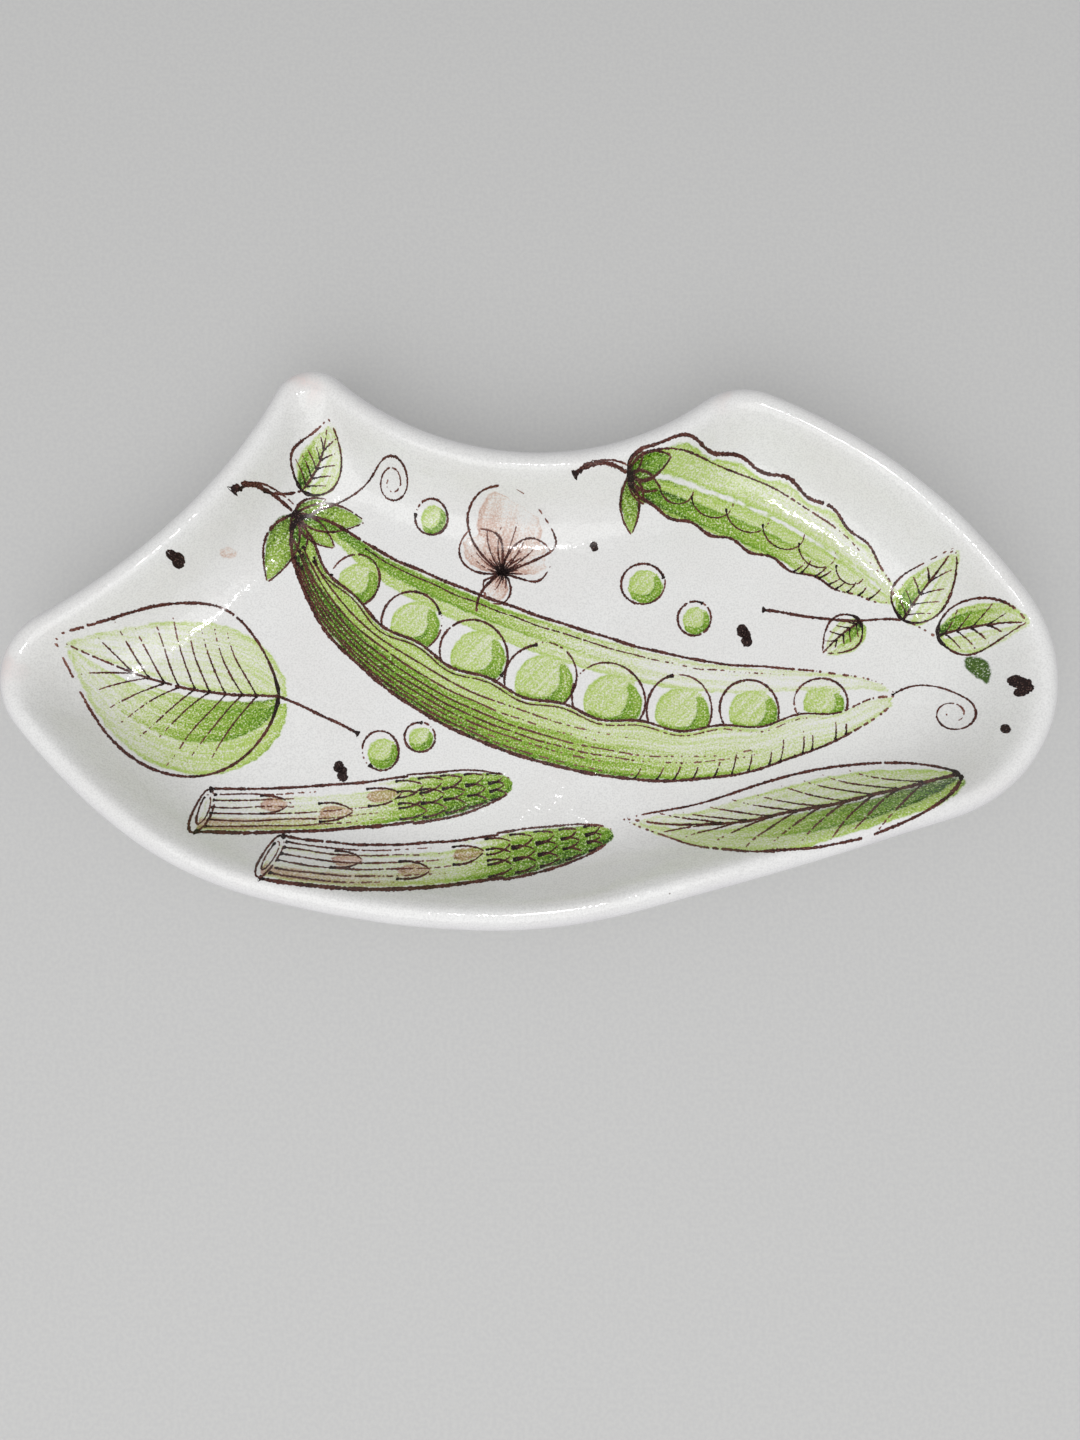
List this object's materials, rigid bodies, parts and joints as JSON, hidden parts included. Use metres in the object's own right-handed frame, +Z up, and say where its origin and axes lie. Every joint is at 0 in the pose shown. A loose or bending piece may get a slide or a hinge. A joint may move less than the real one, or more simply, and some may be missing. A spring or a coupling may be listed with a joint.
{
  "type": "vegetable serving dish",
  "caption": "Free-form shallow serving dish in white-glazed earthenware with a hollowed top edge, rounded lip, sloping well and low foot ring, for serving vegetables at table.",
  "frame": {"origin": "on the plane the foot ring rests on, under the middle of the outline's box", "axes": "+Z up out of the well; +X along the length towards the broad rounded end, with the pointed tip at -X; +Y towards the hollowed edge"},
  "size_m": [0.3698, 0.1986, 0.037],
  "materials": {
    "bare_clay": "unglazed pale pinkish earthenware, matt and slightly gritty",
    "painted_glaze": "glossy white tin glaze with a fine orange-peel surface, painted in greens and brown",
    "plain_glaze": "glossy white tin glaze, unpainted, a little thinner and uneven"
  },
  "bodies": {
    "root": {"earthenware_body": "bare_clay", "foot_ring": "bare_clay", "face_glaze": "painted_glaze", "back_glaze": "plain_glaze", "base_glaze": "plain_glaze"}
  },
  "joints": []
}
